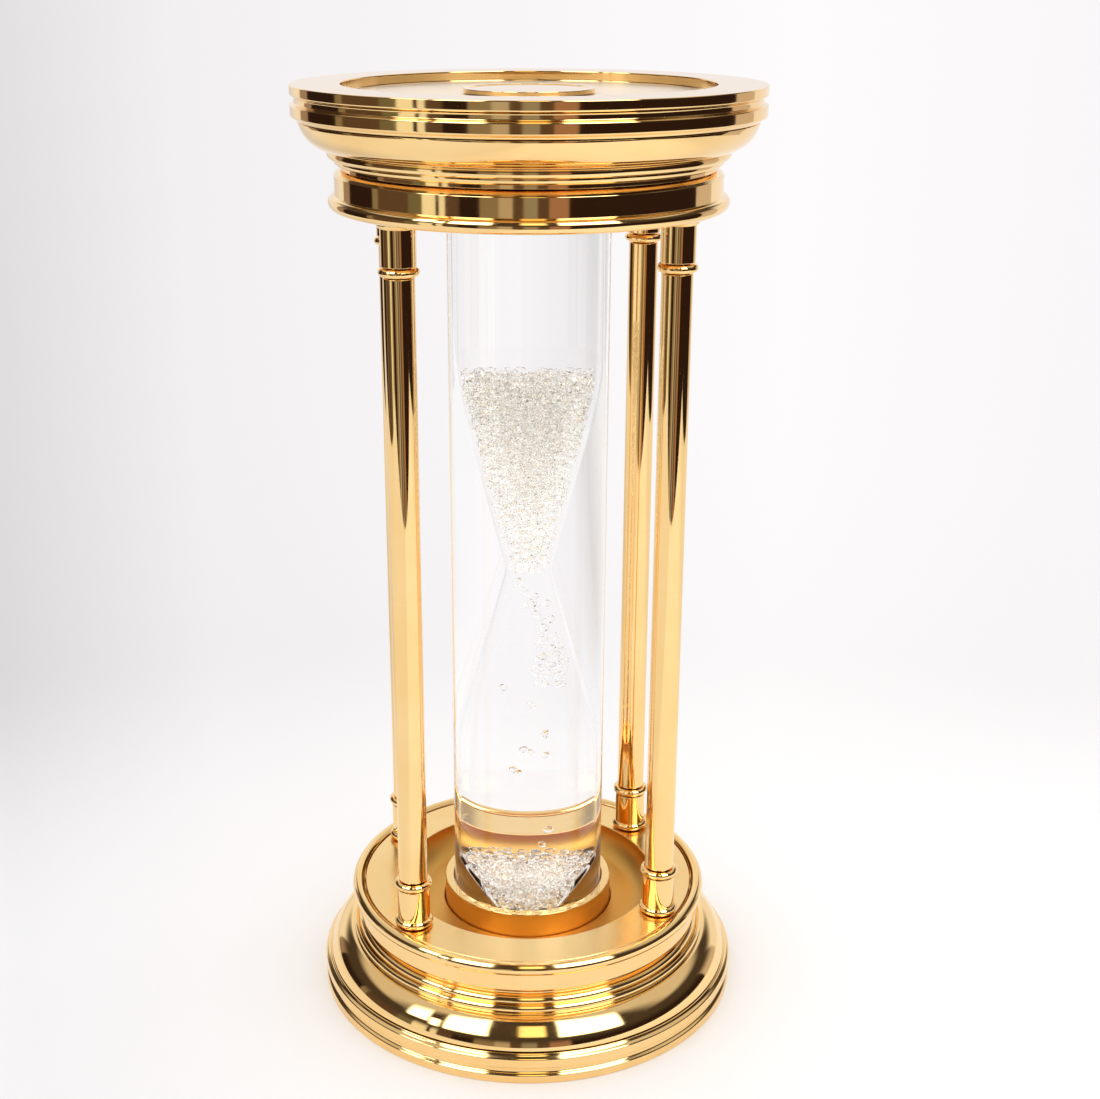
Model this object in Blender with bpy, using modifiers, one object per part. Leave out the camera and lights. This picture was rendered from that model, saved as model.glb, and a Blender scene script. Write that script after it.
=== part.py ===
"""A reversible hourglass: two turned caps, four columns and a thick glass cylinder with crystals in its cavity.

Metres, +Z up. The origin is the centre of the face that it stands on. The columns stand at the corners of
a rectangle whose long sides run along X. The upper cap is the lower one turned over, so a cap is modelled
once, standing on its end face at z = 0, and is hung on an empty at each end.
"""

import math

import bmesh
import bpy

MM = 0.001
GAP = 0.3                       # clearance between pieces that touch

# Driving dimensions, in millimetres. A height is counted from the end face of its cap.
HEIGHT = 240.0
END_FACE_RADIUS = 56.45
GROOVE_RADIUS = 55.5
RECESS_RADIUS, RECESS_DEPTH = 44.5, 2.5
END_PLATE_TOP = 8.0
MOULDING_RADIUS, MOULDING_TOP = 54.8, 19.4
NECK_RADIUS = 45.1
DRUM_RADIUS, DRUM_BORE = 46.8, 43.5
RIM_RADIUS, RIM_CENTRE_RADIUS, RIM_CENTRE_HEIGHT = 1.7, 46.7, 27.15
DECK_TOP, DECK_RADIUS, DECK_SHOULDER = 28.1, 44.9, 25.3
MOAT_RADIUS, MOAT_FLOOR, MOAT_FILLET = 34.2, 21.5, 6.0
COLLAR_RADIUS, COLLAR_BORE, COLLAR_BOTTOM, COLLAR_TOP = 22.8, 20.5, 14.0, 28.0
SEAT_TOP = 10.7
MEDALLION_RADIUS, MEDALLION_THICKNESS = 15.7, 1.0

COLUMN_X, COLUMN_Y = 32.45, 23.3
SHAFT_RADIUS, TENON_RADIUS = 3.75, 2.6
FERRULE_RADIUS, FERRULE_BORE, FOOT_RADIUS, FERRULE_LENGTH = 4.2, 2.9, 5.0, 10.6
RING_RADIUS, RING_LENGTH = 4.9, 2.0
SCREW_RADIUS, SCREW_HOLE_RADIUS, SCREW_HEAD_RADIUS, SCREW_HEAD_HEIGHT = 1.35, 1.7, 2.9, 3.0
SCREW_TOP, SCREW_HOLE_TOP = 38.0, 40.0
BOLT_RADIUS, BOLT_HOLE_RADIUS, BOLT_HEAD_RADIUS, BOLT_HEAD_HEIGHT = 2.0, 2.3, 4.0, 2.5

GLASS_RADIUS, GLASS_END = 20.18, 12.0
CAVITY_RADIUS, MOUTH_RADIUS, WAIST_RADIUS = 12.5, 6.2, 3.9
MOUTH_HEIGHT, CONE_END, CYLINDER_TOP, WAIST_HEIGHT = 22.0, 33.0, 70.0, HEIGHT / 2
CHARGE_BOTTOM, CHARGE_TOP, HEAP_TOP = 119.2, 170.7, 35.2

CRYSTAL_RADIUS = 1.15
FALLING = [                     # where each crystal on its way down is now
    (-4.7, 0.0, 87.0),
    (0.2, -3.0, 82.8),
    (3.2, -1.0, 73.8),
    (-2.4, -4.6, 63.7),
    (3.6, -4.5, 46.3),
    (2.2, -7.5, 43.0),
]

BIG, MEDIUM, SMALL, TINY = 28, 20, 12, 8    # sides of the turned pieces


def clear_scene():
    for obj in list(bpy.data.objects):
        bpy.data.objects.remove(obj, do_unlink=True)


def new_collection(name):
    collection = bpy.data.collections.new(name)
    bpy.context.scene.collection.children.link(collection)
    return collection


def new_material(name, colour, roughness, metallic, transmission=0.0, ior=1.5):
    material = bpy.data.materials.new(name)
    material.use_nodes = True
    shader = material.node_tree.nodes["Principled BSDF"]
    shader.inputs["Base Color"].default_value = (*colour, 1.0)
    shader.inputs["Roughness"].default_value = roughness
    shader.inputs["Metallic"].default_value = metallic
    shader.inputs["Transmission Weight"].default_value = transmission
    shader.inputs["IOR"].default_value = ior
    return material


def new_empty(name, location=(0, 0, 0), flipped=False):
    empty = bpy.data.objects.new(name, None)
    empty.location = [value * MM for value in location]
    empty.rotation_euler.x = math.pi if flipped else 0.0
    parts.objects.link(empty)
    return empty


def arc(centre, radius, start, end, steps):
    """Points (r, z) along a circle's arc, from one angle in degrees to another."""
    points = []
    for step in range(steps + 1):
        angle = math.radians(start + (end - start) * step / steps)
        points.append((centre[0] + radius * math.cos(angle), centre[1] + radius * math.sin(angle)))
    return points


def bulge(start, end, rise, steps):
    """Points (r, z) along the shallow arc from start to end that stands out from its chord by rise."""
    run, climb = end[0] - start[0], end[1] - start[1]
    points = []
    for step in range(steps + 1):
        along = step / steps
        out = 4 * rise * along * (1 - along) / math.hypot(run, climb)
        points.append((start[0] + run * along - climb * out, start[1] + climb * along + run * out))
    return points


def turned(name, outline, material, sides, parent=None, at=(0, 0)):
    """A solid of revolution. The outline runs down its outer side and closes at the axis or on itself."""
    closes_on_axis = outline[0][0] == 0
    count = len(outline)
    edges = [(i, i + 1) for i in range(count - 1)]
    if not closes_on_axis:
        edges.append((count - 1, 0))
    mesh = bpy.data.meshes.new(name)
    mesh.from_pydata([(r * MM, 0, z * MM) for r, z in outline], edges, [])
    mesh.materials.append(material)
    obj = bpy.data.objects.new(name, mesh)
    obj.location = (at[0] * MM, at[1] * MM, 0)
    obj.parent = parent
    screw = obj.modifiers.new("Turn", "SCREW")
    screw.axis = "Z"
    screw.steps = screw.render_steps = sides
    screw.use_merge_vertices = True
    screw.merge_threshold = 0.00001
    screw.use_smooth_shade = True
    parts.objects.link(obj)
    return obj


def drill(obj, radius, bottom, top, at, parent):
    """Cuts a round hole, along Z, out of obj."""
    bpy.ops.mesh.primitive_cylinder_add(vertices=SMALL, radius=radius * MM, depth=(top - bottom) * MM)
    cutter = bpy.context.object
    cutter.name = obj.name + "_drilling"
    cutter.location = (at[0] * MM, at[1] * MM, (top + bottom) / 2 * MM)
    cutter.parent = parent
    cutter.hide_render = True
    cutter.display_type = "WIRE"
    for collection in list(cutter.users_collection):
        collection.objects.unlink(cutter)
    cutters.objects.link(cutter)
    boolean = obj.modifiers.new("Hole", "BOOLEAN")
    boolean.operation = "DIFFERENCE"
    boolean.object = cutter


def column_places():
    """Name and place of each column, as seen from the front."""
    for depth, y in (("front", -COLUMN_Y), ("back", COLUMN_Y)):
        for side, x in (("left", -COLUMN_X), ("right", COLUMN_X)):
            yield f"{depth}_{side}", x, y


def end_plate(prefix, cap):
    """The flange with its two bands, and the recess that the medallion lies in."""
    head_seat = RECESS_DEPTH + 3.6
    outline = [
        (BOLT_HOLE_RADIUS, END_PLATE_TOP), (55.2, END_PLATE_TOP),
        (55.5, 7.5), (END_FACE_RADIUS, 7.1), (END_FACE_RADIUS, 4.5),
        (GROOVE_RADIUS, 4.1), (GROOVE_RADIUS, 2.7), (END_FACE_RADIUS, 2.3),
        (END_FACE_RADIUS, 0.4), (END_FACE_RADIUS - 0.4, 0),
        (RECESS_RADIUS + 0.3, 0), (RECESS_RADIUS, 0.3), (RECESS_RADIUS, RECESS_DEPTH),
        (BOLT_HEAD_RADIUS + 0.4, RECESS_DEPTH), (BOLT_HEAD_RADIUS + 0.4, head_seat),
        (BOLT_HOLE_RADIUS, head_seat),
    ]
    turned(prefix + "end_plate", outline, gold, BIG, cap)


def moulding(prefix, cap):
    """The ovolo, two small beads and the neck. The column screws' heads lie in its underside."""
    bottom = END_PLATE_TOP + GAP
    bore = COLLAR_RADIUS + GAP
    outline = [(bore, MOULDING_TOP), (NECK_RADIUS, MOULDING_TOP), (NECK_RADIUS, 18.1)]
    outline += [(46.2, 17.8), (46.9, 17.1), (46.7, 16.5), (47.7, 16.3), (48.4, 15.7), (48.2, 15.1)]
    outline += bulge((49.0, 14.8), (MOULDING_RADIUS, 9.0), 1.2, 5)
    outline += [(MOULDING_RADIUS, bottom), (bore, bottom)]
    piece = turned(prefix + "moulding", outline, gold, BIG, cap)
    for _, x, y in column_places():
        drill(piece, SCREW_HOLE_RADIUS, bottom, MOULDING_TOP + 1, (x, y), cap)
        drill(piece, SCREW_HEAD_RADIUS + GAP, bottom - 1, bottom + 2 * GAP + SCREW_HEAD_HEIGHT, (x, y), cap)


def drum(prefix, cap):
    """The wall round the deck, with a bead along its rim."""
    rim = (RIM_CENTRE_RADIUS, RIM_CENTRE_HEIGHT)
    bottom = MOULDING_TOP + GAP
    outline = [(DECK_RADIUS + GAP, 28.2)]
    outline += arc(rim, RIM_RADIUS, 120, -75, 7)
    outline += [(DRUM_RADIUS, 25.4), (DRUM_RADIUS, 20.9), (46.3, 20.2), (45.4, bottom), (DRUM_BORE, bottom)]
    outline += [(DRUM_BORE, DECK_SHOULDER - GAP), (DECK_RADIUS + GAP, DECK_SHOULDER - GAP)]
    turned(prefix + "drum", outline, gold, BIG, cap)


def deck(prefix, cap):
    """The flat ring that the columns stand on, with a moat between it and the glass's collar."""
    bottom = MOULDING_TOP + GAP
    bore = COLLAR_RADIUS + GAP
    corner = MOAT_FLOOR + MOAT_FILLET
    outline = [(MOAT_RADIUS, DECK_TOP), (DECK_RADIUS, DECK_TOP), (DECK_RADIUS, DECK_SHOULDER)]
    outline += [(DRUM_BORE - GAP, DECK_SHOULDER), (DRUM_BORE - GAP, bottom), (bore, bottom), (bore, MOAT_FLOOR)]
    outline += arc((MOAT_RADIUS - MOAT_FILLET, corner), MOAT_FILLET, -90, 0, 4)
    piece = turned(prefix + "deck", outline, gold, BIG, cap)
    for _, x, y in column_places():
        drill(piece, SCREW_HOLE_RADIUS, bottom - 1, DECK_TOP + 1, (x, y), cap)


def glass_mount(prefix, cap):
    """What holds the glass: the collar, the seat, the gasket and the plug that closes the cavity."""
    collar = [
        (COLLAR_BORE, COLLAR_TOP - 0.2), (COLLAR_BORE + 0.2, COLLAR_TOP), (COLLAR_RADIUS - 0.2, COLLAR_TOP),
        (COLLAR_RADIUS, COLLAR_TOP - 0.2), (COLLAR_RADIUS, COLLAR_BOTTOM), (COLLAR_BORE, COLLAR_BOTTOM),
    ]
    turned(prefix + "glass_collar", collar, gold, BIG, cap)
    seat_bottom = END_PLATE_TOP + GAP
    seat = [
        (BOLT_HOLE_RADIUS, SEAT_TOP), (COLLAR_RADIUS, SEAT_TOP),
        (COLLAR_RADIUS, seat_bottom), (BOLT_HOLE_RADIUS, seat_bottom),
    ]
    turned(prefix + "glass_seat", seat, gold, MEDIUM, cap)
    soft_bottom, soft_top = SEAT_TOP + GAP, GLASS_END - GAP
    head = MOUTH_RADIUS + 3.0
    gasket = [(head + 0.4, soft_top), (GLASS_RADIUS, soft_top), (GLASS_RADIUS, soft_bottom), (head + 0.4, soft_bottom)]
    turned(prefix + "gasket", gasket, rubber, MEDIUM, cap)
    shank = MOUTH_RADIUS - GAP
    plug = [
        (0, MOUTH_HEIGHT - GAP), (shank, MOUTH_HEIGHT - GAP), (shank, soft_top),
        (head, soft_top), (head, soft_bottom), (0, soft_bottom),
    ]
    turned(prefix + "cavity_plug", plug, plastic, SMALL, cap)


def end_dressing(prefix, cap):
    """The medallion, and the bolt under it that holds the end plate."""
    top = RECESS_DEPTH - GAP
    face = top - MEDALLION_THICKNESS
    medallion = [
        (0, top), (MEDALLION_RADIUS, top), (MEDALLION_RADIUS, face + 0.2), (MEDALLION_RADIUS - 0.2, face),
        (MEDALLION_RADIUS - 1.2, face), (MEDALLION_RADIUS - 1.4, face + 0.2), (0, face + 0.2),
    ]
    turned(prefix + "medallion", medallion, gold, MEDIUM, cap)
    head_bottom = RECESS_DEPTH + 0.8
    head_top = head_bottom + BOLT_HEAD_HEIGHT
    bolt = [
        (0, SEAT_TOP - 0.2), (BOLT_RADIUS, SEAT_TOP - 0.2), (BOLT_RADIUS, head_top),
        (BOLT_HEAD_RADIUS, head_top), (BOLT_HEAD_RADIUS, head_bottom), (0, head_bottom),
    ]
    turned(prefix + "centre_bolt", bolt, steel, SMALL, cap)


def column_fittings(end, cap, side):
    """The ferrule, ring and screw at one end of each column."""
    foot = DECK_TOP + GAP
    ferrule_top = foot + FERRULE_LENGTH
    ring_bottom = ferrule_top + GAP
    ring_top = ring_bottom + RING_LENGTH
    ferrule = [
        (FERRULE_BORE, ferrule_top), (FERRULE_RADIUS, ferrule_top), (FERRULE_RADIUS, foot + 1.9),
        (FOOT_RADIUS - 0.2, foot + 1.6), (FOOT_RADIUS, foot + 1.0), (FOOT_RADIUS - 0.2, foot + 0.3),
        (FOOT_RADIUS - 0.6, foot), (FERRULE_BORE, foot),
    ]
    ring = [
        (FERRULE_BORE, ring_top), (FERRULE_RADIUS, ring_top), (RING_RADIUS, ring_top - 0.5),
        (RING_RADIUS, ring_bottom + 0.5), (FERRULE_RADIUS, ring_bottom), (FERRULE_BORE, ring_bottom),
    ]
    head_bottom = END_PLATE_TOP + 2 * GAP
    head_top = head_bottom + SCREW_HEAD_HEIGHT
    screw = [
        (0, SCREW_TOP), (SCREW_RADIUS, SCREW_TOP), (SCREW_RADIUS, head_top),
        (SCREW_HEAD_RADIUS, head_top), (SCREW_HEAD_RADIUS, head_bottom), (0, head_bottom),
    ]
    for name, x, y in column_places():
        place = (x, y * side)
        turned(f"{name}_{end}_ferrule", ferrule, gold, SMALL, cap, place)
        turned(f"{name}_{end}_ring", ring, gold, SMALL, cap, place)
        turned(f"{name}_{end}_screw", screw, steel, TINY, cap, place)


def shafts():
    """The four rods. Each has a thinner end inside its ferrules, with a blind hole for the screw."""
    foot = DECK_TOP + GAP
    shoulder = foot + FERRULE_LENGTH + GAP + RING_LENGTH + GAP
    lower = [
        (SHAFT_RADIUS, shoulder), (TENON_RADIUS, shoulder), (TENON_RADIUS, foot),
        (SCREW_HOLE_RADIUS, foot), (SCREW_HOLE_RADIUS, SCREW_HOLE_TOP), (0, SCREW_HOLE_TOP),
    ]
    upper = [(r, HEIGHT - z) for r, z in reversed(lower)]
    for name, x, y in column_places():
        turned(name + "_shaft", upper + lower, gold, SMALL, None, (x, y))


def cavity_wall():
    """The lower half of the cavity's wall, from the mouth up to the waist."""
    return [
        (MOUTH_RADIUS, MOUTH_HEIGHT), (CAVITY_RADIUS, CONE_END), (CAVITY_RADIUS, CYLINDER_TOP),
        (CAVITY_RADIUS - 0.9, CYLINDER_TOP + 7.0), (WAIST_RADIUS + 0.3, WAIST_HEIGHT - 2.0),
    ]


def glass_body():
    lower = cavity_wall()
    upper = [(r, HEIGHT - z) for r, z in reversed(lower)]
    edge = 0.4
    outline = [(GLASS_RADIUS - edge, HEIGHT - GLASS_END), (GLASS_RADIUS, HEIGHT - GLASS_END - edge)]
    outline += [(GLASS_RADIUS, GLASS_END + edge), (GLASS_RADIUS - edge, GLASS_END), (MOUTH_RADIUS, GLASS_END)]
    outline += lower + [(WAIST_RADIUS, WAIST_HEIGHT)] + upper + [(MOUTH_RADIUS, HEIGHT - GLASS_END)]
    turned("glass_body", outline, glass, BIG)


def crystal_masses():
    """The crystals still in the upper half and those heaped in the lower half, each as one body."""
    clear = 0.35
    upper = [(r - clear, HEIGHT - z) for r, z in cavity_wall()]
    charge = [(0, CHARGE_TOP + 0.3), (7.0, CHARGE_TOP), (CAVITY_RADIUS - clear, CHARGE_TOP - 0.4)]
    charge += upper[3:] + [(WAIST_RADIUS - clear, CHARGE_BOTTOM + 0.6), (0, CHARGE_BOTTOM)]
    turned("upper_crystal_charge", charge, crystal, MEDIUM)
    floor = MOUTH_HEIGHT + GAP
    heap = [(0, HEAP_TOP), (7.0, HEAP_TOP - 0.1), (CAVITY_RADIUS - clear, HEAP_TOP - 0.6)]
    heap += [(CAVITY_RADIUS - clear, CONE_END + 0.2), (MOUTH_RADIUS - clear, floor), (0, floor)]
    turned("lower_crystal_heap", heap, crystal, MEDIUM)


def falling_crystals():
    """Crystals on their way down, each a rough faceted lump that slides along its own vertical line."""
    for number, place in enumerate(FALLING, 1):
        name = f"falling_crystal_{number}"
        mesh = bpy.data.meshes.new(name)
        shape = bmesh.new()
        bmesh.ops.create_icosphere(shape, subdivisions=1, radius=CRYSTAL_RADIUS * MM)
        shape.to_mesh(mesh)
        shape.free()
        mesh.materials.append(crystal)
        lump = bpy.data.objects.new(name, mesh)
        lump.location = [value * MM for value in place]
        lump.rotation_euler = (0.7 * number, 0.4 * number, 1.1 * number)
        lump.scale = (1.0, 0.85, 0.75)
        parts.objects.link(lump)


clear_scene()
parts = new_collection("hourglass")
cutters = new_collection("cutters")
gold = new_material("polished_gold", (0.98, 0.72, 0.30), 0.04, 1.0)
steel = new_material("steel", (0.60, 0.60, 0.62), 0.25, 1.0)
rubber = new_material("seal_rubber", (0.03, 0.03, 0.03), 0.7, 0.0)
plastic = new_material("clear_plastic", (0.95, 0.95, 0.95), 0.1, 0.0, 1.0, 1.49)
glass = new_material("clear_glass", (1.0, 1.0, 1.0), 0.0, 0.0, 1.0, 1.49)
crystal = new_material("crystal", (0.97, 0.97, 0.95), 0.0, 0.0, 1.0, 2.2)

for end, is_upper in (("lower", False), ("upper", True)):
    cap_empty = new_empty(end + "_cap", (0, 0, HEIGHT if is_upper else 0), is_upper)
    for build in (end_plate, moulding, drum, deck, glass_mount, end_dressing):
        build(end + "_", cap_empty)
    column_fittings(end, cap_empty, -1 if is_upper else 1)
shafts()
glass_body()
crystal_masses()
falling_crystals()
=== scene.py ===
"""Looks of the hourglass: fine turned gold pieces, clear glass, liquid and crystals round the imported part."""

import math

import bmesh
import bpy
import numpy as np
from mathutils import Euler, Matrix, Vector


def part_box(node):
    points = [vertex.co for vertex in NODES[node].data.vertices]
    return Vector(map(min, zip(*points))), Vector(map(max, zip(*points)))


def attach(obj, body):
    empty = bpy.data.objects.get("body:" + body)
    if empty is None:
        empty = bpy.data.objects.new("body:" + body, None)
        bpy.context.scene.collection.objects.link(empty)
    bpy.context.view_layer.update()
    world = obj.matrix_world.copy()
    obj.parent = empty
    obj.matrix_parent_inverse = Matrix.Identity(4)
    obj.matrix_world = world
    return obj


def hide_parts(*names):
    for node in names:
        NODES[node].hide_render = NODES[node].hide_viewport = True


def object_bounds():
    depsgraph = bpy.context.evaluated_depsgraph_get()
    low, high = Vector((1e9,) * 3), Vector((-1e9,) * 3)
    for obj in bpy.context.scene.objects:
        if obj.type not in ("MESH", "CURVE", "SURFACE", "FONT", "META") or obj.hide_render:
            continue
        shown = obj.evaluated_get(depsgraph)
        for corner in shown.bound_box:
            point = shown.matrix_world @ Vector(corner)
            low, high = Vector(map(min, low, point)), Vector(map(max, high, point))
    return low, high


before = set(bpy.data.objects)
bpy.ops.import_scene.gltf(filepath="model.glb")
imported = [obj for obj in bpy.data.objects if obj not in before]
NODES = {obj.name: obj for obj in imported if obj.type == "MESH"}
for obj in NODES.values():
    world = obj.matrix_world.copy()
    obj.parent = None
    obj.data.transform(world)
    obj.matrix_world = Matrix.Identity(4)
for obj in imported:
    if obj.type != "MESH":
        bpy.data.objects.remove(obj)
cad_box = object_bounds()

MM = 0.001
DEGREES = 180 / math.pi
BODY = "frame"
HEIGHT = cad_box[1].z / MM                      # of the object, in millimetres
scene = bpy.context.scene

# ---------------------------------------------------------------- camera
CAMERA_TURN = math.radians(6.033)               # the camera stands this far to the left of the -Y axis
CAMERA_DISTANCE, CAMERA_HEIGHT = 0.408536, 0.266399     # metres from the object's axis and above the floor
CAMERA_PITCH, CAMERA_ROLL = 0.33774, 0.00169
BOUNCES = 28                                    # light crosses many crystals before it gets out

camera_data = bpy.data.cameras.new("Camera")
camera_data.sensor_width = 36.0
camera_data.lens = 54.59
camera_data.shift_x = 0.01974
camera = bpy.data.objects.new("Camera", camera_data)
camera.matrix_world = (
    Matrix.Translation((
        -CAMERA_DISTANCE * math.sin(CAMERA_TURN), -CAMERA_DISTANCE * math.cos(CAMERA_TURN), CAMERA_HEIGHT))
    @ Matrix.Rotation(-CAMERA_TURN, 4, "Z")
    @ Matrix.Rotation(math.pi / 2 - CAMERA_PITCH, 4, "X")
    @ Matrix.Rotation(CAMERA_ROLL, 4, "Z")
)
camera_data.clip_start = 0.01
scene.collection.objects.link(camera)
scene.camera = camera
scene.view_settings.view_transform = "Standard"
scene.cycles.max_bounces = BOUNCES
scene.cycles.transmission_bounces = BOUNCES
scene.cycles.glossy_bounces = 8


# ---------------------------------------------------------------- node helpers
class Graph:
    """Short ways to add and link nodes in one tree."""

    def __init__(self, tree):
        self.tree = tree
        tree.nodes.clear()

    def add(self, kind, **inputs):
        node = self.tree.nodes.new(kind)
        for name, value in inputs.items():
            self.put(node, name.replace("_", " "), value)
        return node

    def put(self, node, name, value):
        """Set or link an input, by its name or as "i" and its number."""
        socket = node.inputs[int(name[1:]) if name[0] == "i" and name[1:].isdigit() else name]
        if isinstance(value, bpy.types.NodeSocket):
            self.tree.links.new(value, socket)
        else:
            socket.default_value = value

    def math(self, operation, a, b=0.0):
        node = self.tree.nodes.new("ShaderNodeMath")
        node.operation = operation
        for index, value in enumerate((a, b)):
            self.put(node, f"i{index}", value)
        return node.outputs[0]

    def length(self, x, y):
        return self.math("SQRT", self.math("ADD", self.math("MULTIPLY", x, x), self.math("MULTIPLY", y, y)))

    def smooth(self, value, low, high, to_low=0.0, to_high=1.0):
        node = self.tree.nodes.new("ShaderNodeMapRange")
        node.interpolation_type = "SMOOTHSTEP"
        for index, item in enumerate((value, low, high, to_low, to_high)):
            self.put(node, f"i{index}", item)
        return node.outputs["Result"]

    def ramp(self, value, stops):
        node = self.tree.nodes.new("ShaderNodeValToRGB")
        elements = node.color_ramp.elements
        while len(elements) < len(stops):
            elements.new(0.5)
        for element, (place, colour) in zip(elements, stops):
            element.position = place
            element.color = (*colour, 1.0)
        self.tree.links.new(value, node.inputs[0])
        return node.outputs["Color"]

    def mix(self, factor, a, b):
        node = self.tree.nodes.new("ShaderNodeMix")
        node.data_type = "RGBA"
        self.put(node, "i0", factor)
        self.put(node, "i6", a)
        self.put(node, "i7", b)
        return node.outputs[2]


def material(name):
    made = bpy.data.materials.new(name)
    made.use_nodes = True
    graph = Graph(made.node_tree)
    out = graph.add("ShaderNodeOutputMaterial")
    shader = graph.add("ShaderNodeBsdfPrincipled")
    made.node_tree.links.new(shader.outputs[0], out.inputs["Surface"])
    return made, graph, shader


def noise(graph, vector, scale, detail=2.0, roughness=0.5):
    node = graph.add("ShaderNodeTexNoise", Vector=vector, Scale=scale, Detail=detail, Roughness=roughness)
    return node.outputs["Fac"]


GOLD_TONES = (0.955, 0.640, 0.270), (0.985, 0.700, 0.325)
# The moat's tones are darker and more orange than the gold: painted shade and interreflection of the moat.
MOAT_SHADE_TONES = (0.79, 0.45, 0.11), (0.83, 0.48, 0.13)
FROSTED_TONES = (0.93, 0.76, 0.56), (0.96, 0.81, 0.62)


def gold_material(name, rough, ripple, turned_lines=0.0, tones=GOLD_TONES, metallic=1.0):
    """Gold plate: a faint colour and gloss variation, a very shallow ripple and, if asked, fine lathe lines."""
    made, graph, shader = material(name)
    place = graph.add("ShaderNodeTexCoord").outputs["Object"]
    clouds = noise(graph, place, 45.0, 3.0)
    colour = graph.ramp(clouds, [(0.3, tones[0]), (0.7, tones[1])])
    graph.put(shader, "Base Color", colour)
    shader.inputs["Metallic"].default_value = metallic
    gloss = noise(graph, place, 220.0, 4.0, 0.6)
    graph.put(shader, "Roughness", graph.smooth(gloss, 0.3, 0.75, *rough))
    wave = noise(graph, place, 110.0, 1.0)
    bump = graph.add("ShaderNodeBump", Strength=1.0, Distance=ripple, Height=wave)
    normal = bump.outputs["Normal"]
    if turned_lines:
        axes = graph.add("ShaderNodeSeparateXYZ", Vector=place)
        radius = graph.length(axes.outputs[0], axes.outputs[1])
        row = graph.add("ShaderNodeCombineXYZ", X=radius, Y=axes.outputs[2])
        lines = noise(graph, row.outputs[0], 2600.0, 2.0, 0.7)
        cut = graph.add("ShaderNodeBump", Strength=1.0, Distance=turned_lines, Height=lines, Normal=normal)
        normal = cut.outputs["Normal"]
    graph.put(shader, "Normal", normal)
    return made


gold = gold_material("GoldPlate", (0.030, 0.060), 0.0000010)
gold_turned = gold_material("GoldPlateTurned", (0.045, 0.085), 0.0000015, 0.00000016)
gold_satin = gold_material("GoldPlateSatin", (0.21, 0.25), 0.0000004, 0.0000003)
gold_moat_shade = gold_material("GoldPlateMoatShade", (0.42, 0.46), 0.0, tones=MOAT_SHADE_TONES)
gold_frosted = gold_material(
    "GoldPlateFrosted", (0.30, 0.34), 0.00000005, tones=FROSTED_TONES, metallic=0.55)


def plain_material(name, low, high, scale, metallic, rough_low, rough_high):
    """A small fitting's finish: two close tones in a fine grain."""
    made, graph, shader = material(name)
    place = graph.add("ShaderNodeTexCoord").outputs["Object"]
    grain = noise(graph, place, scale, 3.0)
    graph.put(shader, "Base Color", graph.ramp(grain, [(0.3, low), (0.7, high)]))
    shader.inputs["Metallic"].default_value = metallic
    graph.put(shader, "Roughness", graph.smooth(grain, 0.3, 0.7, rough_low, rough_high))
    bump = graph.add("ShaderNodeBump", Strength=0.4, Distance=0.00002, Height=grain)
    graph.put(shader, "Normal", bump.outputs["Normal"])
    return made


steel = plain_material("TurnedSteel", (0.42, 0.42, 0.43), (0.58, 0.58, 0.59), 900.0, 1.0, 0.22, 0.34)
rubber = plain_material("SealRubber", (0.60, 0.59, 0.57), (0.70, 0.69, 0.67), 600.0, 0.0, 0.5, 0.65)


GLOW_TONE = (1.0, 0.965, 0.91, 1.0)


def clear_material(name, ior, colour, ripple, rough=0.0, glow=0.0):
    """Clear glass, plastic or crystal, with a hardly visible ripple.

    glow is a faint emission that stands in for the light that a pile of crystals scatters.
    """
    made, graph, shader = material(name)
    place = graph.add("ShaderNodeTexCoord").outputs["Object"]
    shader.inputs["Base Color"].default_value = (*colour, 1.0)
    shader.inputs["Transmission Weight"].default_value = 1.0
    shader.inputs["Emission Color"].default_value = GLOW_TONE
    shader.inputs["Emission Strength"].default_value = glow
    shader.inputs["IOR"].default_value = ior
    shader.inputs["Roughness"].default_value = rough
    wave = noise(graph, place, 60.0, 1.0)
    bump = graph.add("ShaderNodeBump", Strength=1.0, Distance=ripple, Height=wave)
    graph.put(shader, "Normal", bump.outputs["Normal"])
    return made


# There is no solid for the liquid: the faces that it wets carry the ratio of the two indices instead.
GLASS_IOR, LIQUID_IOR, CRYSTAL_IOR, PLASTIC_IOR = 1.49, 1.39, 1.65, 1.46
GLASS_RIPPLE, CRYSTAL_RIPPLE = 0.0000003, 0.000002
glass = clear_material("ClearGlass", GLASS_IOR, (0.995, 0.997, 0.997), GLASS_RIPPLE)
wetted = clear_material("LiquidAgainstGlass", GLASS_IOR / LIQUID_IOR, (1.0, 1.0, 1.0), GLASS_RIPPLE)
crystal = clear_material("Crystal", CRYSTAL_IOR / LIQUID_IOR, (0.985, 0.98, 0.965), CRYSTAL_RIPPLE)
crystal_charge = clear_material(
    "CrystalCharge", CRYSTAL_IOR / LIQUID_IOR, (0.99, 0.985, 0.97), CRYSTAL_RIPPLE, glow=0.006)
crystal_heap = clear_material(
    "CrystalHeap", CRYSTAL_IOR / LIQUID_IOR, (0.99, 0.985, 0.975), CRYSTAL_RIPPLE, glow=0.026)
plug_plastic = clear_material("ClearPlastic", PLASTIC_IOR, (0.97, 0.97, 0.96), 0.000001, rough=0.05)


# ---------------------------------------------------------------- turned pieces
# An outline is a list of points (r, h) in millimetres: r from the axis, and h up from the cap's end face.
CAP_SIDES, COLUMN_SIDES = 256, 96
SHARP_ANGLE = math.radians(50)
NO_LENGTH = 1e-6


def placed(name, mesh):
    """A new object for the mesh, in the scene."""
    obj = bpy.data.objects.new(name, mesh)
    scene.collection.objects.link(obj)
    return obj


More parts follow.
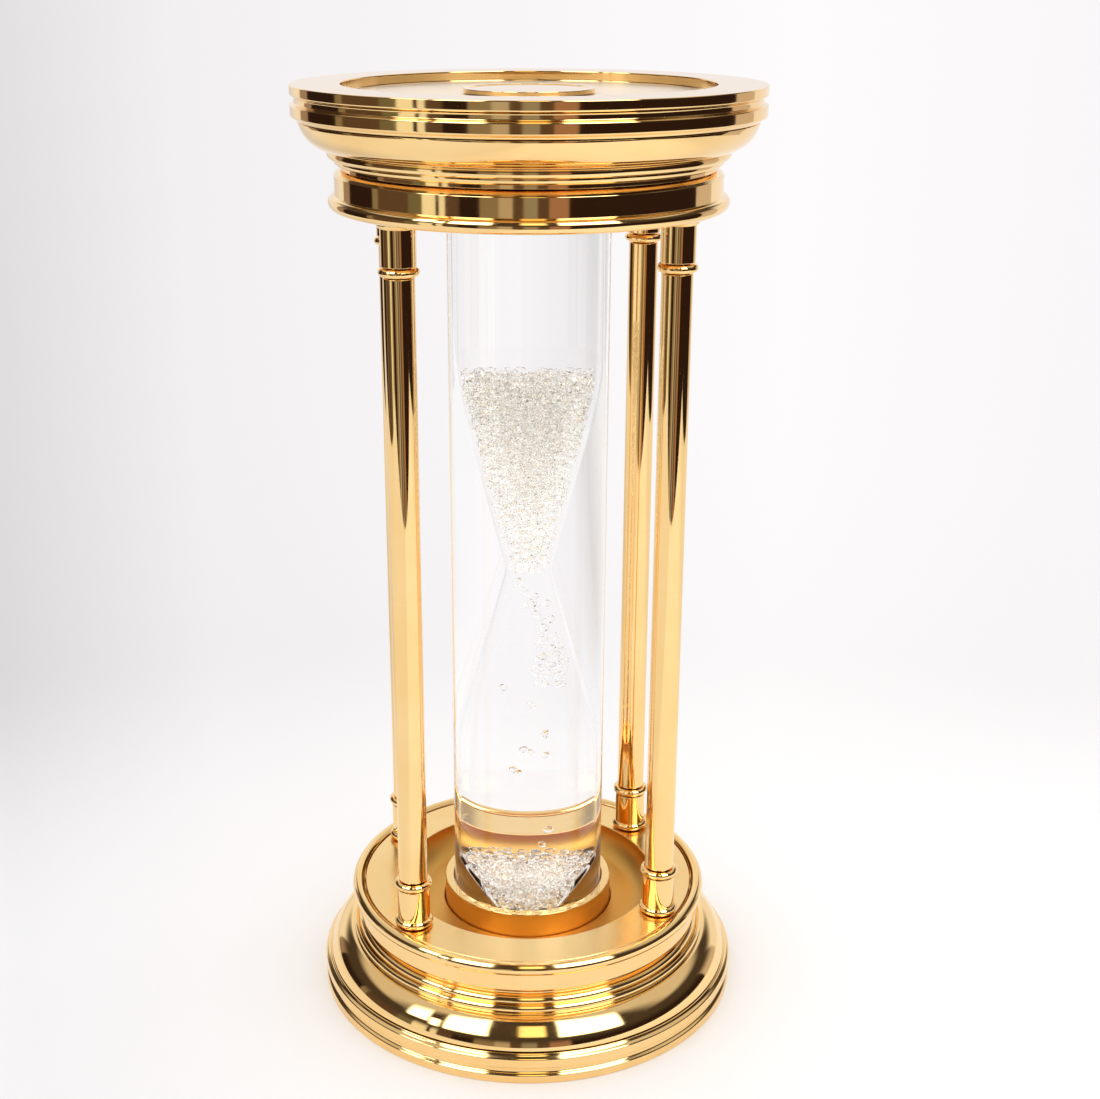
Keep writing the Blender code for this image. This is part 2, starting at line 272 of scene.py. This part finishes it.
def arc(centre, radius, start, end, steps):
    """Points (r, h) along a circle's arc, from one angle in degrees to another."""
    points = []
    for step in range(steps + 1):
        angle = math.radians(start + (end - start) * step / steps)
        points.append((centre[0] + radius * math.cos(angle), centre[1] + radius * math.sin(angle)))
    return points


def bulge(start, end, rise, steps):
    """Points (r, h) along the shallow arc from start to end that stands out from its chord by rise."""
    run, climb = end[0] - start[0], end[1] - start[1]
    points = []
    for step in range(steps + 1):
        along = step / steps
        out = 4 * rise * along * (1 - along) / math.hypot(run, climb)
        points.append((start[0] + run * along - climb * out, start[1] + climb * along + run * out))
    return points


def rounded(outline, cut, steps=3, least_turn=22.0):
    """The closed outline with each sharp corner cut back by an arc, and a holding point beside each arc."""
    result = []
    count = len(outline)
    for i, here in enumerate(outline):
        corner = Vector(here)
        back = Vector(outline[i - 1]) - corner
        ahead = Vector(outline[(i + 1) % count]) - corner
        if min(corner.x, back.length, ahead.length) < NO_LENGTH:
            result.append(here)
            continue
        turn = 180 - math.degrees(back.angle(ahead))
        if turn < least_turn:
            result.append(here)
            continue
        reach = min(cut, 0.36 * back.length, 0.36 * ahead.length)
        hold = min(reach + 0.06, 0.45 * back.length, 0.45 * ahead.length)
        a, b = corner + back.normalized() * reach, corner + ahead.normalized() * reach
        result.append(tuple(corner + back.normalized() * hold))
        for step in range(steps + 1):
            s = step / steps
            point = a * (1 - s) ** 2 + corner * 2 * s * (1 - s) + b * s ** 2
            result.append(tuple(point))
        result.append(tuple(corner + ahead.normalized() * hold))
    return result


def turned(name, outline, finish, sides, at=(0.0, 0.0), flip=False):
    """A solid of revolution about a vertical axis. flip hangs it from the top cap's end face."""
    shape = bmesh.new()
    rings = []
    turns = [(math.cos(2 * math.pi * k / sides), math.sin(2 * math.pi * k / sides)) for k in range(sides)]
    for r, h in outline:
        z = (HEIGHT - h if flip else h) * MM
        if r < NO_LENGTH:
            rings.append([shape.verts.new((at[0] * MM, at[1] * MM, z))])
        else:
            rings.append([shape.verts.new(((at[0] + r * c) * MM, (at[1] + r * s) * MM, z)) for c, s in turns])
    count = len(rings)
    for i in range(count):
        low, high = rings[i], rings[(i + 1) % count]
        if len(low) == 1 and len(high) == 1:
            continue
        for k in range(sides):
            n = (k + 1) % sides
            if len(low) == 1:
                shape.faces.new((low[0], high[k], high[n]))
            elif len(high) == 1:
                shape.faces.new((low[k], high[0], low[n]))
            else:
                shape.faces.new((low[k], high[k], high[n], low[n]))
    bmesh.ops.recalc_face_normals(shape, faces=shape.faces)
    mesh = bpy.data.meshes.new(name)
    shape.to_mesh(mesh)
    shape.free()
    mesh.materials.append(finish)
    mesh.shade_smooth()
    mesh.set_sharp_from_angle(angle=SHARP_ANGLE)
    return placed(name, mesh)


def stands_for(obj, node, body=BODY):
    """The piece takes a CAD node's place, on its body, and the node is hidden."""
    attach(obj, body)
    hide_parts(node)


def half_width(node):
    """Half of a CAD node's width, in millimetres."""
    low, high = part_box(node)
    return (high.x - low.x) / 2 / MM


END_R = half_width("lower_end_plate")
MOULDING_R = half_width("lower_moulding")
RIM_R = half_width("lower_drum")
DECK_R = half_width("lower_deck")
DECK_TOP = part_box("lower_deck")[1].z / MM
COLLAR_R, COLLAR_TOP = half_width("lower_glass_collar"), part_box("lower_glass_collar")[1].z / MM
FERRULE_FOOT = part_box("front_left_lower_ferrule")[0].z / MM
FERRULE_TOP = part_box("front_left_lower_ferrule")[1].z / MM
RING_LOW, RING_HIGH = (corner.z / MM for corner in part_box("front_left_lower_ring"))
SHAFT_R = half_width("front_left_shaft")
GLASS_R = half_width("glass_body")
GLASS_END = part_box("glass_body")[0].z / MM
END_PLATE_TOP, MOULDING_FOOT, MOULDING_TOP, DRUM_FOOT = 8.0, 8.3, 19.4, 19.7
BORE_R = 23.1                                   # of the moulding and the deck, round the glass seat
RECESS_R, RECESS_DEPTH = 44.5, 2.5
MOAT_R, MOAT_FLOOR, MOAT_CURVE = 34.2, 21.5, 6.0
COLLAR_BORE, COLLAR_FOOT = 20.5, 14.0
SLEEVE_BORE = 2.9                               # of the ferrules and rings, round the shaft's spigot
SPIGOT_R, SCREW_HOLE_R, SCREW_HOLE_TOP = 2.6, 1.7, 40.0

end_plate = rounded([
    (2.3, END_PLATE_TOP), (END_R - 1.25, END_PLATE_TOP), (END_R - 0.95, 7.5), (END_R, 7.0), (END_R, 4.5),
    (END_R - 0.95, 4.1), (END_R - 0.95, 2.8), (END_R, 2.2), (END_R, 0.0),
    (RECESS_R, 0.0), (RECESS_R, RECESS_DEPTH), (4.4, RECESS_DEPTH), (4.4, 6.1), (2.3, 6.1),
], 0.3)
moulding = rounded(
    [(BORE_R, MOULDING_TOP), (45.1, MOULDING_TOP), (45.1, 18.1)]
    + arc((45.6, 17.15), 1.3, 75, -25, 8)
    + arc((47.1, 15.7), 1.3, 62, -35, 8)
    + [(48.2, 14.85)]
    + bulge((49.0, 14.8), (MOULDING_R, 8.5), 1.2, 30)
    + [(MOULDING_R, MOULDING_FOOT), (BORE_R, MOULDING_FOOT)], 0.15)
drum = rounded(
    [(45.2, DECK_TOP + 0.1)]
    + arc((RIM_R - 1.7, 27.15), 1.7, 120, -75, 26)
    + [(RIM_R - 1.6, 25.4), (RIM_R - 1.6, 20.9), (RIM_R - 2.1, 20.2), (45.4, DRUM_FOOT), (43.5, DRUM_FOOT),
       (43.5, 25.0), (45.2, 25.0)], 0.12)
deck = rounded(
    [(MOAT_R, DECK_TOP), (DECK_R, DECK_TOP), (DECK_R, 25.3), (43.2, 25.3), (43.2, DRUM_FOOT),
     (BORE_R, DRUM_FOOT), (BORE_R, MOAT_FLOOR)]
    + arc((MOAT_R - MOAT_CURVE, MOAT_FLOOR + MOAT_CURVE), MOAT_CURVE, -90, 0, 24), 0.3)
collar = rounded([
    (COLLAR_BORE, COLLAR_TOP), (COLLAR_R, COLLAR_TOP), (COLLAR_R, COLLAR_FOOT), (COLLAR_BORE, COLLAR_FOOT)], 0.25)
medallion = rounded([
    (0, 2.2), (15.7, 2.2), (15.7, 1.2), (14.4, 1.2), (14.2, 1.4), (0, 1.4)], 0.15)
ferrule = rounded(
    [(SLEEVE_BORE, FERRULE_TOP), (4.2, FERRULE_TOP), (4.2, FERRULE_FOOT + 1.9)]
    + arc((3.95, FERRULE_FOOT + 0.95), 1.05, 62, -62, 10)
    + [(SLEEVE_BORE, FERRULE_FOOT)], 0.12)
ring = (
    [(SLEEVE_BORE, RING_HIGH), (3.9, RING_HIGH)]
    + arc((3.9, (RING_LOW + RING_HIGH) / 2), (RING_HIGH - RING_LOW) / 2, 80, -80, 14)
    + [(3.9, RING_LOW), (SLEEVE_BORE, RING_LOW)])
shoulder = RING_HIGH + 0.3
shaft_low = rounded([
    (SHAFT_R, HEIGHT / 2), (SHAFT_R, shoulder), (SPIGOT_R, shoulder), (SPIGOT_R, FERRULE_FOOT),
    (SCREW_HOLE_R, FERRULE_FOOT), (SCREW_HOLE_R, SCREW_HOLE_TOP), (0, SCREW_HOLE_TOP),
], 0.25)[1:]
shaft = [(r, HEIGHT - h) for r, h in reversed(shaft_low)] + shaft_low

for end, flip in (("lower", False), ("upper", True)):
    for part, outline, finish in (
        ("end_plate", end_plate, gold_turned), ("moulding", moulding, gold_turned),
        ("drum", drum, gold_turned), ("deck", deck, gold_satin),
        ("glass_collar", collar, gold_turned), ("medallion", medallion, gold_turned),
    ):
        piece = turned(f"{end}_{part}_turned", outline, finish, CAP_SIDES, flip=flip)
        stands_for(piece, f"{end}_{part}")
        if part in ("end_plate", "deck", "glass_collar"):   # a frosted recess floor, and painted shade in the moat: a darker, more orange gold there and on the collar's foot
            piece.data.materials.append(gold_frosted if part == "end_plate" else gold_moat_shade)
            for face in piece.data.polygons:
                centre = face.center / MM
                depth, reach = HEIGHT - centre.z if flip else centre.z, math.hypot(centre.x, centre.y)
                recess_floor = part == "end_plate" and abs(depth - RECESS_DEPTH) < 0.02 and reach < RECESS_R - 0.1
                moat = part == "deck" and MOAT_FLOOR - 0.1 < depth < DECK_TOP - 0.4 and reach < MOAT_R + 0.05
                foot = part == "glass_collar" and depth < COLLAR_TOP - 0.6
                if recess_floor or moat or foot:
                    face.material_index = 1
    for part, finish in (("glass_seat", gold), ("centre_bolt", steel), ("gasket", rubber),
                         ("cavity_plug", plug_plastic)):
        for material_slot in NODES[f"{end}_{part}"].material_slots:
            material_slot.material = finish

for depth in ("front", "back"):
    for side in ("left", "right"):
        column = f"{depth}_{side}"
        low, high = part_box(f"{column}_shaft")
        at = ((low.x + high.x) / 2 / MM, (low.y + high.y) / 2 / MM)
        piece = turned(f"{column}_shaft_turned", shaft, gold, COLUMN_SIDES, at)
        stands_for(piece, f"{column}_shaft")
        for end, flip in (("lower", False), ("upper", True)):
            for part, outline in (("ferrule", ferrule), ("ring", ring)):
                piece = turned(f"{column}_{end}_{part}_turned", outline, gold, COLUMN_SIDES, at, flip)
                stands_for(piece, f"{column}_{end}_{part}")
            for material_slot in NODES[f"{column}_{end}_screw"].material_slots:
                material_slot.material = steel

# ---------------------------------------------------------------- glass
MOUTH_R, MOUTH_TOP, CAVITY_R = 6.2, 22.0, 12.5
wall_low = [(MOUTH_R, MOUTH_TOP), (CAVITY_R, 33.0), (CAVITY_R, 70.0), (11.6, 77.0), (4.2, 118.0), (3.9, 120.0)]
wall = wall_low + [(r, HEIGHT - h) for r, h in reversed(wall_low[:-1])]


def softened(points, reach, steps=6):
    """The open line with its corners turned into short arcs."""
    result = [points[0]]
    for before, here, after in zip(points, points[1:], points[2:]):
        corner = Vector(here)
        back, ahead = Vector(before) - corner, Vector(after) - corner
        size = min(reach, 0.4 * back.length, 0.4 * ahead.length)
        a, b = corner + back.normalized() * size, corner + ahead.normalized() * size
        for step in range(steps + 1):
            s = step / steps
            result.append(tuple(a * (1 - s) ** 2 + corner * 2 * s * (1 - s) + b * s ** 2))
    result.append(points[-1])
    return result


glass_outline = rounded([
    (GLASS_R, HEIGHT - GLASS_END), (GLASS_R, GLASS_END), (MOUTH_R, GLASS_END),
] + softened(wall, 3.0) + [(MOUTH_R, HEIGHT - GLASS_END)], 0.4)
body = turned("glass_turned", glass_outline, glass, CAP_SIDES)
body.data.materials.append(wetted)
for face in body.data.polygons:
    centre = face.center / MM
    reach = math.hypot(centre.x, centre.y)
    if MOUTH_TOP < centre.z < HEIGHT - MOUTH_TOP and reach < CAVITY_R + 0.5:
        face.material_index = 1
stands_for(body, "glass_body")

# ---------------------------------------------------------------- crystals
CRYSTAL_R = 1.12
CHARGE_COUNT, HEAP_COUNT = 1300, 430
SPACING, ROUNDS = 2.22, 70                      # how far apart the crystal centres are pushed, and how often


def grain(shape, centre, random):
    """One crystal: a faceted lump, squashed a little, turned at random."""
    made = bmesh.ops.create_icosphere(shape, subdivisions=1, radius=1.0)["verts"]
    squash = random.uniform(0.78, 1.08, 3)
    turn = Euler(random.uniform(0, 2 * math.pi, 3)).to_matrix()
    for vertex in made:
        lump = 1.0 + random.uniform(-0.07, 0.07)
        local = Vector([vertex.co[i] * squash[i] for i in range(3)]) * lump
        vertex.co = (Vector(centre) + turn @ local * CRYSTAL_R) * MM


def grains(name, centres, random, finish=crystal):
    """One object with a crystal at each centre."""
    shape = bmesh.new()
    for centre in centres:
        grain(shape, centre, random)
    mesh = bpy.data.meshes.new(name)
    shape.to_mesh(mesh)
    shape.free()
    mesh.materials.append(finish)
    return placed(name, mesh)


def room_for_centre(z):
    """How far from the axis a crystal's centre may be at a height."""
    return np.interp(z, [h for _, h in wall], [r for r, _ in wall]) - CRYSTAL_R - 0.03


def packed(count, low, high, random):
    """Centres in the cavity between two heights, pushed apart until they fill it."""
    z = random.uniform(low, high, count * 6)
    keep = random.uniform(0, 1, z.size) < (room_for_centre(z) / CAVITY_R) ** 2
    z = z[keep][:count]
    angle = random.uniform(0, 2 * math.pi, z.size)
    reach = room_for_centre(z) * np.sqrt(random.uniform(0, 1, z.size))
    points = np.stack([reach * np.cos(angle), reach * np.sin(angle), z], 1)
    for _ in range(ROUNDS):
        gap = points[:, None, :] - points[None, :, :]
        far = np.sqrt((gap ** 2).sum(2)) + 1e-9
        np.fill_diagonal(far, 99.0)
        push = np.clip(SPACING - far, 0, None) / far
        points = points + 0.28 * (gap * push[:, :, None]).sum(1)
        points[:, 2] = np.clip(points[:, 2], low, high)
        reach = np.hypot(points[:, 0], points[:, 1])
        most = np.maximum(room_for_centre(points[:, 2]), 0.4)
        scale = np.where(reach > most, most / np.maximum(reach, 1e-9), 1.0)
        points[:, :2] *= scale[:, None]
    return points


dice = np.random.default_rng(7)
low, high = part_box("upper_crystal_charge")
charge = packed(CHARGE_COUNT, low.z / MM + 1.2, high.z / MM - 1.0, dice)
stands_for(grains("crystal_charge", charge, dice, crystal_charge), "upper_crystal_charge")
low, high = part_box("lower_crystal_heap")
heap = packed(HEAP_COUNT, low.z / MM + 1.1, high.z / MM - 1.0, dice)
stands_for(grains("crystal_heap", heap, dice, crystal_heap), "lower_crystal_heap")

# The loose stream is clear of the lines that the falling crystals slide along. Its first grains are placed
# one by one. The others are drawn, and the tries run out before there is room for the last few.
STREAM_MOST, STREAM_TRIES, STREAM_GAP = 44, 20000, 2.35
STREAM_LOW, STREAM_HIGH = 87.0, 110.5
stream = [
    (-1.6, 2.0, 116.2), (-0.4, 3.0, 113.4), (1.2, 2.2, 112.0), (-0.8, -0.5, 69.2), (0.5, 1.9, 67.5),
    (3.1, 1.9, 72.2), (3.3, 1.8, 66.4), (-2.4, 1.7, 62.3),
]
tries = 0
while len(stream) < STREAM_MOST and tries < STREAM_TRIES:
    tries += 1
    z = dice.uniform(STREAM_LOW, STREAM_HIGH)
    middle = np.interp(z, [STREAM_LOW, 92, 97, 103, STREAM_HIGH], [3.9, 4.3, 5.0, 5.0, 2.2])
    x, y = middle + dice.uniform(-2.4, 2.4), dice.uniform(1.9, 6.0)
    if math.hypot(x, y) > room_for_centre(z) - 0.05:
        continue
    if all((x - a) ** 2 + (y - b) ** 2 + (z - c) ** 2 > STREAM_GAP ** 2 for a, b, c in stream):
        stream.append((x, y, z))
falls = grains("crystal_stream", stream, dice)
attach(falls, BODY)
for number in range(1, 7):
    node = f"falling_crystal_{number}"
    low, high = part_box(node)
    centre = (low + high) / 2 / MM
    piece = grains(f"{node}_faceted", [centre], dice)
    stands_for(piece, node, node)    # its body has the same name

# ---------------------------------------------------------------- floor
def plane(name, corners, z, finish):
    """A flat stage piece, in metres."""
    mesh = bpy.data.meshes.new(name)
    mesh.from_pydata([(x, y, z) for x, y in corners], [], [tuple(range(len(corners)))])
    mesh.materials.append(finish)
    obj = placed(name, mesh)
    return obj


# The floor's tone goes with the bearing and the distance from one fixed point, below the camera's first place:
# painted shade, darker far off and towards the left, lighter near the object.
FLOOR_FROM, FLOOR_SPAN = -40.0, 100.0           # the bearings that the ramps cover, in degrees
floor_shade_paint, graph, shader = material("PaleFloorPaintedShade")
place = graph.add("ShaderNodeTexCoord").outputs["Object"]
axes = graph.add("ShaderNodeSeparateXYZ", Vector=place)
east = graph.math("SUBTRACT", axes.outputs[0], camera.location.x)
north = graph.math("SUBTRACT", axes.outputs[1], camera.location.y)
bearing = graph.math("MULTIPLY", graph.math("ARCTAN2", east, north), DEGREES)
reach = graph.length(east, north)
across = graph.math("DIVIDE", graph.math("SUBTRACT", bearing, FLOOR_FROM), FLOOR_SPAN)
far_shade_tone = graph.ramp(across, [
    (0.14, (0.762, 0.758, 0.762)), (0.27, (0.585, 0.58, 0.585)), (0.345, (0.73, 0.72, 0.73)),
    (0.46, (0.775, 0.765, 0.775)), (0.55, (0.81, 0.80, 0.805)), (0.64, (0.78, 0.77, 0.775)),
    (1.0, (0.77, 0.77, 0.77))])
near_shade_tone = graph.ramp(across, [(0.27, (0.80, 0.80, 0.81)), (0.42, (0.94, 0.935, 0.935))])
tone = graph.mix(graph.smooth(reach, 0.42, 0.66), near_shade_tone, far_shade_tone)
graph.put(shader, "Base Color", tone)
shader.inputs["Roughness"].default_value = 1.0
shader.inputs["Specular IOR Level"].default_value = 0.0

# FloorTable, the part of the floor that the gold mirrors, ends in front and at both sides. Behind the object
# it runs on between these two azimuths.
BACK_RIGHT, BACK_LEFT = math.radians(133) - CAMERA_TURN, math.radians(-138) - CAMERA_TURN


def toward(azimuth, distance):
    """A floor point at an azimuth counted from -Y, growing towards +X."""
    return distance * math.sin(azimuth), -distance * math.cos(azimuth)


TABLE_FRONT, TABLE_SIDE, FAR = -0.44, 0.60, 25.0
right, left = toward(BACK_RIGHT, 1.0), toward(BACK_LEFT, 1.0)
plane("FloorTable", [
    (-TABLE_SIDE, TABLE_FRONT), (TABLE_SIDE, TABLE_FRONT),
    (TABLE_SIDE, right[1] / right[0] * TABLE_SIDE), toward(BACK_RIGHT, FAR),
    (FAR, FAR), (-FAR, FAR), toward(BACK_LEFT, FAR), (-TABLE_SIDE, -left[1] / left[0] * TABLE_SIDE),
], 0.0, floor_shade_paint)
around = plane("FloorAround", [(-FAR, -FAR), (FAR, -FAR), (FAR, FAR), (-FAR, FAR)], -0.0002, floor_shade_paint)
around.visible_glossy = False
around.visible_transmission = False

# ---------------------------------------------------------------- the room that the gold mirrors
world = bpy.data.worlds.new("Studio")
world.use_nodes = True
scene.world = world
world.cycles.sampling_method = "NONE"
graph = Graph(world.node_tree)
direction = graph.add("ShaderNodeTexCoord").outputs["Generated"]


def angles(vector):
    """Azimuth and elevation of a direction in degrees. Azimuth 0 is the side that the camera stands on."""
    axes = graph.add("ShaderNodeSeparateXYZ", Vector=vector)
    turn = graph.math("ARCTAN2", axes.outputs[0], graph.math("MULTIPLY", axes.outputs[1], -1.0))
    turn = graph.math("MULTIPLY", graph.math("ADD", turn, CAMERA_TURN), DEGREES)
    return turn, graph.math("MULTIPLY", graph.math("ARCSINE", axes.outputs[2]), DEGREES)


azimuth, elevation = angles(direction)

WHITE, TAN, DIM = (1.14, 1.13, 1.12), (0.48, 0.44, 0.40), (0.26, 0.22, 0.17)
BROWN, DARK = (0.11, 0.070, 0.050), (0.026, 0.014, 0.012)
BAND_SPLIT, BAND_EDGE = -30.0, 0.8           # one ramp is too short for all bands; the edge between two tones
BANDS = [                                    # azimuth in degrees where each tone of the room starts
    (-180, WHITE), (-138, (0.34, 0.26, 0.23)), (-128, DARK), (-102, DIM), (-97, BROWN), (-73, (0.17, 0.16, 0.10)),
    (-63.5, (0.95, 0.95, 0.85)), (-54.6, DARK), (-52.5, (0.9, 0.9, 0.85)), (-48.6, BROWN), (-40, DARK),
    (-28, DIM), (-17, TAN), (-9, BROWN), (-3, (0.30, 0.29, 0.27)), (5, BROWN), (11.5, (0.36, 0.21, 0.15)),
    (22.7, DARK), (113, (0.62, 0.54, 0.50)), (133, WHITE), (180, WHITE),
]


def band_ramp(low, high):
    """The tones of the room between two azimuths."""
    stops = []
    for (start, tone), (end, _) in zip(BANDS, BANDS[1:]):
        start, end = max(start, low), min(end, high)
        if end - start > 0:
            stops.append(((start + BAND_EDGE / 2 - low) / (high - low), tone))
            stops.append(((end - BAND_EDGE / 2 - low) / (high - low), tone))
    share = graph.math("DIVIDE", graph.math("SUBTRACT", azimuth, low), high - low)
    return graph.ramp(share, stops)


walls = graph.mix(graph.math("GREATER_THAN", azimuth, BAND_SPLIT),
                  band_ramp(-180, BAND_SPLIT), band_ramp(BAND_SPLIT, 180))

# The lamps are placed by the slope of gold that mirrors them towards one fixed direction, down to the foot.
VIEW_DOWN = math.radians(36)
toward_viewer = (-math.cos(VIEW_DOWN) * math.sin(CAMERA_TURN),
                 -math.cos(VIEW_DOWN) * math.cos(CAMERA_TURN), math.sin(VIEW_DOWN))
halfway = graph.tree.nodes.new("ShaderNodeVectorMath")
halfway.operation = "ADD"
graph.tree.links.new(direction, halfway.inputs[0])
halfway.inputs[1].default_value = toward_viewer
slope = graph.tree.nodes.new("ShaderNodeVectorMath")
slope.operation = "NORMALIZE"
graph.tree.links.new(halfway.outputs[0], slope.inputs[0])
slope_turn, slope_rise = angles(slope.outputs[0])


def between(value, low, high, soft):
    """1 between low and high, and 0 outside, with soft edges."""
    return graph.math("MULTIPLY", graph.smooth(value, low - soft, low + soft),
                      graph.smooth(value, high - soft, high + soft, 1.0, 0.0))


CEILING = (0.07, 0.055, 0.045, 1.0)
LAMP = (4.2, 4.2, 4.1)
LAMP_SIDE_EDGE, LAMP_END_EDGE = 0.9, 1.8        # degrees of slope
room = graph.mix(graph.smooth(elevation, 6.0, 22.0), walls, CEILING)
for low, high, bottom, top, tint in (
    (-38, -31, 37, 63, LAMP), (-30, -27, 33, 45, LAMP), (-25.3, -11.8, 33, 65, LAMP),
    (-2.5, 5.4, 35, 55, (1.7, 1.45, 0.75)), (9.4, 29, 33, 65, LAMP),
):
    factor = graph.math("MULTIPLY", between(slope_turn, low, high, LAMP_SIDE_EDGE),
                        between(slope_rise, bottom, top, LAMP_END_EDGE))
    room = graph.mix(factor, room, (*tint, 1.0))
backdrop = graph.math("MAXIMUM", graph.smooth(azimuth, 131.0, 135.0),
                      graph.smooth(azimuth, -139.0, -137.0, 1.0, 0.0))
behind = graph.smooth(graph.math("ABSOLUTE", azimuth), 146.0, 158.0)
backdrop_high = graph.mix(graph.smooth(elevation, 26.0, 34.0), (1.0, 0.99, 0.98, 1.0), (0.86, 0.85, 0.84, 1.0))
backdrop_tone = graph.mix(graph.smooth(elevation, 8.0, 14.0), (0.92, 0.905, 0.94, 1.0), backdrop_high)
cover = graph.math("MULTIPLY", backdrop, graph.math(
    "MAXIMUM", behind, graph.smooth(elevation, 8.0, 26.0, 1.0, 0.0)))
beside = graph.math("MULTIPLY", graph.smooth(graph.math("ABSOLUTE", azimuth), 70.0, 105.0),
                    graph.smooth(elevation, 31.0, 40.0))
room = graph.mix(beside, room, (0.70, 0.66, 0.62, 1.0))
room = graph.mix(cover, room, backdrop_tone)

# Each kind of ray has its own surroundings: the camera sees a pale wall, a diffuse ray a brighter one, the
# gold the room, and a ray that leaves through glass a pale tone that is darker at the backdrop's sides.
PALE = (0.93, 0.925, 0.93, 1.0)
path = graph.add("ShaderNodeLightPath")
sky = graph.mix(path.outputs["Is Camera Ray"], (1.22, 1.21, 1.21, 1.0), PALE)
shown = graph.mix(path.outputs["Is Glossy Ray"], sky, room)
through = graph.mix(graph.smooth(elevation, -5.0, -1.0), (1.04, 1.035, 1.035, 1.0), PALE)
edge_tone = graph.math("MULTIPLY", graph.smooth(graph.math("ABSOLUTE", azimuth), 112.0, 122.0), 0.6)
through = graph.mix(edge_tone, through, (0.45, 0.44, 0.49, 1.0))
below_backdrop = graph.math("MULTIPLY", backdrop, graph.smooth(elevation, -4.0, -1.0, 1.0, 0.0))
through = graph.mix(backdrop, through, PALE)
through = graph.mix(below_backdrop, through, (*WHITE, 1.0))
# A ray that has passed that many faces has been among the crystals: more light comes to it from above.
among_crystals = graph.smooth(path.outputs["Transmission Depth"], 4.5, 7.5)
above = graph.math("MULTIPLY", among_crystals, graph.smooth(elevation, 10.0, 30.0))
through = graph.mix(above, through, (1.9, 1.9, 1.88, 1.0))
shown = graph.mix(path.outputs["Is Transmission Ray"], shown, through)
background = graph.add("ShaderNodeBackground", Color=shown, Strength=1.0)
out = graph.add("ShaderNodeOutputWorld")
world.node_tree.links.new(background.outputs[0], out.inputs["Surface"])
